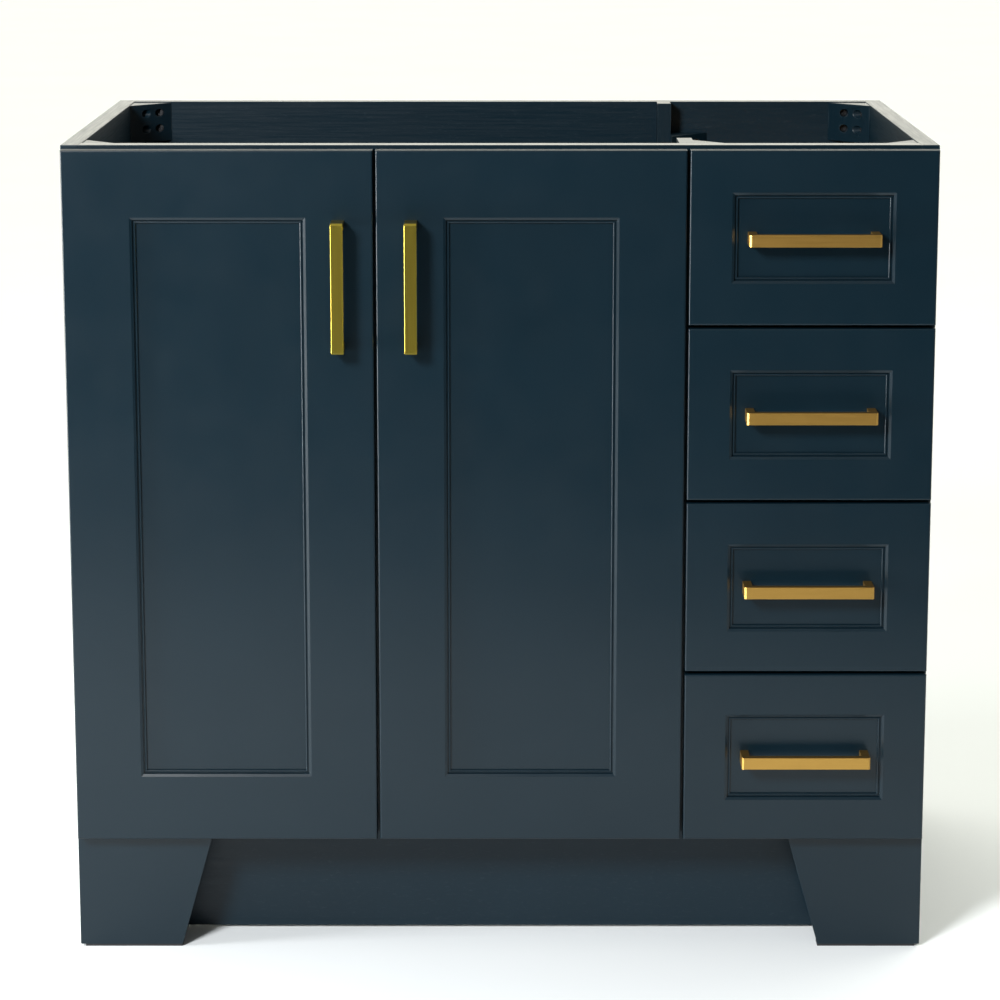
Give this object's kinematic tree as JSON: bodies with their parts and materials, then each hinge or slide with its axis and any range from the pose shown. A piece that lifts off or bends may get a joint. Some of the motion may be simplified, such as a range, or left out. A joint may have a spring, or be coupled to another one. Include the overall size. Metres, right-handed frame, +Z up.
{
  "type": "bathroom vanity cabinet",
  "caption": "Open-topped bathroom vanity cabinet with a pair of hinged doors, a bank of drawers, brass bar pulls, a recessed plinth and tapered front feet.",
  "frame": {"origin": "on the floor, under the middle of the cabinet's width and of its depth with the pulls", "axes": "+X to the right for someone facing the doors, +Y to the wall behind, +Z up"},
  "size_m": [0.9144, 0.576, 0.876],
  "materials": {
    "navy_paint": "satin dark blue lacquer on board",
    "brushed_brass": "brushed, lacquered",
    "nickel_steel": "nickel-plated pressed steel",
    "zinc_steel": "zinc-plated steel",
    "black_steel": "black phosphated screws",
    "birch_ply": "clear-lacquered birch plywood",
    "black_plastic": "moulded, matt"
  },
  "bodies": {
    "carcass": {"side_panel_left": "navy_paint", "side_panel_right": "navy_paint", "partition": "navy_paint", "bottom_deck": "navy_paint", "back_panel": "navy_paint", "back_top_rail": "navy_paint", "front_top_rail": "navy_paint", "centre_stile": "navy_paint", "toe_kick": "navy_paint", "front_foot_left": "navy_paint", "front_foot_right": "navy_paint", "foot_pads": "black_plastic", "corner_block_front_left": "navy_paint", "corner_block_front_right": "navy_paint", "corner_block_back_left": "navy_paint", "corner_block_back_right": "navy_paint", "corner_block_partition_front": "navy_paint", "corner_block_partition_back": "navy_paint", "corner_block_screws": "black_steel", "hinge_arms": "nickel_steel", "slide_rails": "zinc_steel"},
    "left_door": {"left_door_frame": "navy_paint", "left_door_panel": "navy_paint", "left_door_pull": "brushed_brass", "left_door_pull_screws": "zinc_steel", "left_door_hinge_cups": "nickel_steel"},
    "right_door": {"right_door_frame": "navy_paint", "right_door_panel": "navy_paint", "right_door_pull": "brushed_brass", "right_door_pull_screws": "zinc_steel", "right_door_hinge_cups": "nickel_steel"},
    "drawer_1": {"drawer_1_front": "navy_paint", "drawer_1_box": "birch_ply", "drawer_1_bottom": "birch_ply", "drawer_1_pull": "brushed_brass", "drawer_1_pull_screws": "zinc_steel", "drawer_1_slide_inner": "zinc_steel"},
    "drawer_1_slides": {"drawer_1_slide_middle": "zinc_steel"},
    "drawer_2": {"drawer_2_front": "navy_paint", "drawer_2_box": "birch_ply", "drawer_2_bottom": "birch_ply", "drawer_2_pull": "brushed_brass", "drawer_2_pull_screws": "zinc_steel", "drawer_2_slide_inner": "zinc_steel"},
    "drawer_2_slides": {"drawer_2_slide_middle": "zinc_steel"},
    "drawer_3": {"drawer_3_front": "navy_paint", "drawer_3_box": "birch_ply", "drawer_3_bottom": "birch_ply", "drawer_3_pull": "brushed_brass", "drawer_3_pull_screws": "zinc_steel", "drawer_3_slide_inner": "zinc_steel"},
    "drawer_3_slides": {"drawer_3_slide_middle": "zinc_steel"},
    "drawer_4": {"drawer_4_front": "navy_paint", "drawer_4_box": "birch_ply", "drawer_4_bottom": "birch_ply", "drawer_4_pull": "brushed_brass", "drawer_4_pull_screws": "zinc_steel", "drawer_4_slide_inner": "zinc_steel"},
    "drawer_4_slides": {"drawer_4_slide_middle": "zinc_steel"}
  },
  "joints": [
    {"name": "left_door_hinge", "type": "hinge", "parent": "carcass", "child": "left_door", "pos_m": [-0.455, -0.258, 0.5013], "axis": [0, 0, 1], "range_deg": [-105, 0]},
    {"name": "right_door_hinge", "type": "hinge", "parent": "carcass", "child": "right_door", "pos_m": [0.194, -0.258, 0.5013], "axis": [0, 0, 1], "range_deg": [0, 105]},
    {"name": "drawer_1_slide", "type": "slide", "parent": "carcass", "child": "drawer_1", "axis": [0, 1, 0], "range_m": [-0.43, 0]},
    {"name": "drawer_1_slide_travel", "type": "slide", "parent": "carcass", "child": "drawer_1_slides", "axis": [0, 1, 0], "range_m": [-0.215, 0]},
    {"name": "drawer_2_slide", "type": "slide", "parent": "carcass", "child": "drawer_2", "axis": [0, 1, 0], "range_m": [-0.43, 0]},
    {"name": "drawer_2_slide_travel", "type": "slide", "parent": "carcass", "child": "drawer_2_slides", "axis": [0, 1, 0], "range_m": [-0.215, 0]},
    {"name": "drawer_3_slide", "type": "slide", "parent": "carcass", "child": "drawer_3", "axis": [0, 1, 0], "range_m": [-0.43, 0]},
    {"name": "drawer_3_slide_travel", "type": "slide", "parent": "carcass", "child": "drawer_3_slides", "axis": [0, 1, 0], "range_m": [-0.215, 0]},
    {"name": "drawer_4_slide", "type": "slide", "parent": "carcass", "child": "drawer_4", "axis": [0, 1, 0], "range_m": [-0.43, 0]},
    {"name": "drawer_4_slide_travel", "type": "slide", "parent": "carcass", "child": "drawer_4_slides", "axis": [0, 1, 0], "range_m": [-0.215, 0]}
  ],
  "couplings": [
    {"joint": "drawer_1_slide_travel", "follows": "drawer_1_slide", "ratio": 0.5},
    {"joint": "drawer_2_slide_travel", "follows": "drawer_2_slide", "ratio": 0.5},
    {"joint": "drawer_3_slide_travel", "follows": "drawer_3_slide", "ratio": 0.5},
    {"joint": "drawer_4_slide_travel", "follows": "drawer_4_slide", "ratio": 0.5}
  ]
}
